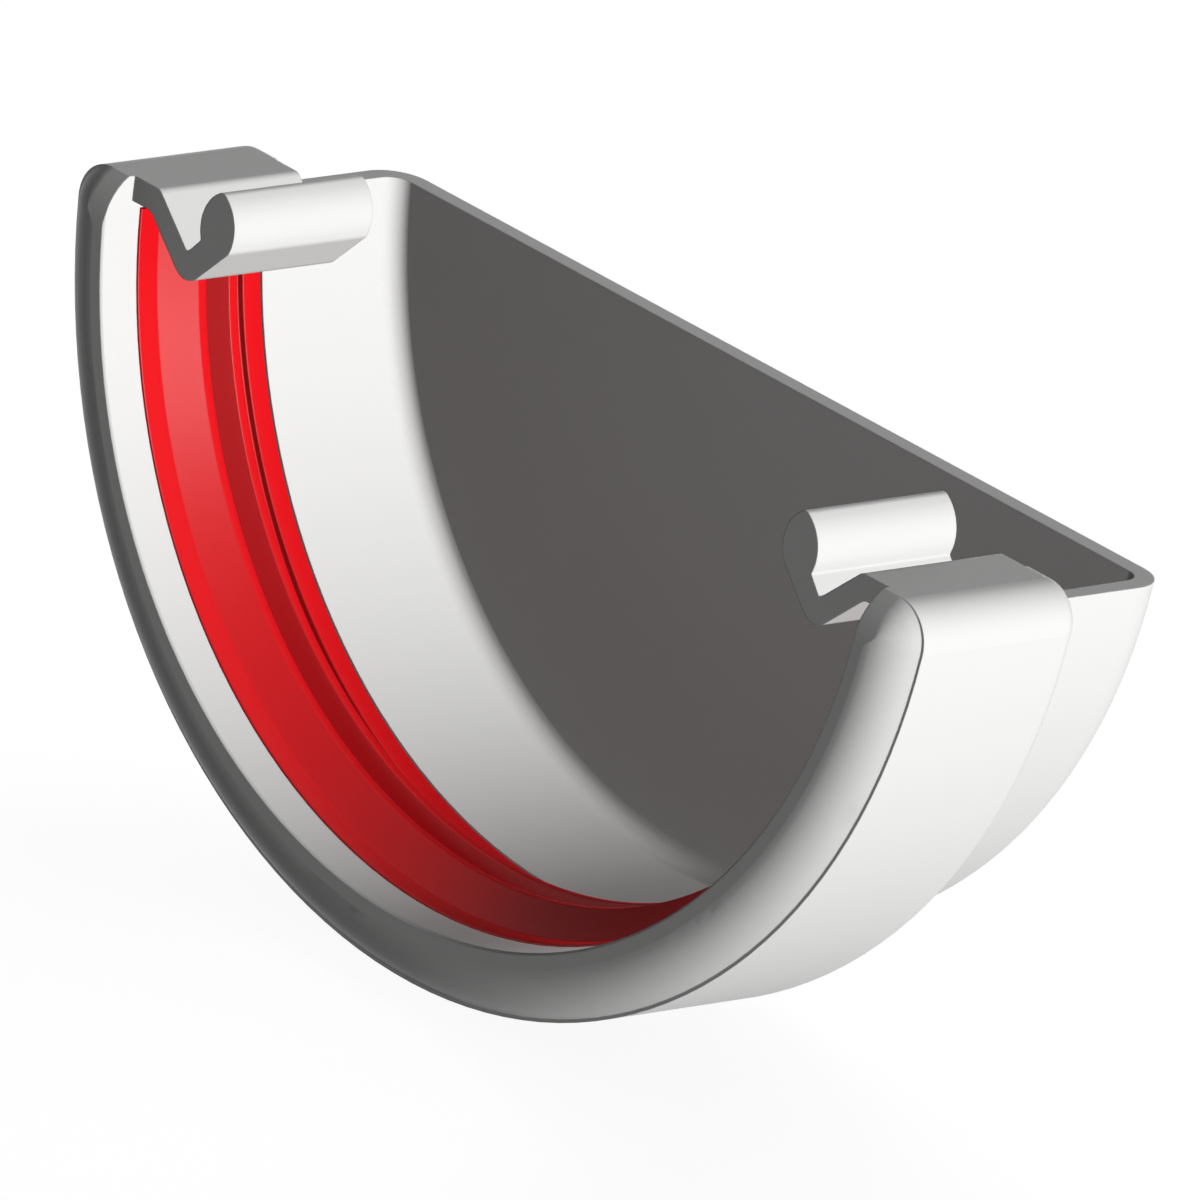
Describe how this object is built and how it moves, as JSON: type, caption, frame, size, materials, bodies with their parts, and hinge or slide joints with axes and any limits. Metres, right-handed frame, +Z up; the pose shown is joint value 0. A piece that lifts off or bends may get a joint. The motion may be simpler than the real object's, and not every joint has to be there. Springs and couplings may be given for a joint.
{
  "type": "gutter end cap",
  "caption": "Half-round gutter end cap with a closed flat back, a thick rounded collar at the mouth, snap hooks at the rims and a red rubber sealing strip inside.",
  "frame": {"origin": "centre of the gutter's circle, in the plane of the open mouth", "axes": "+X across the gutter, +Y along the gutter from the mouth to the closed back, +Z up with the hollow open to the top"},
  "size_m": [0.1264, 0.0388, 0.0645],
  "materials": {
    "moulded_pvc": "satin injection moulding",
    "seal_rubber": "soft satin extrusion"
  },
  "bodies": {
    "root": {"end_cap_body": "moulded_pvc", "rubber_seal": "seal_rubber"}
  },
  "joints": []
}
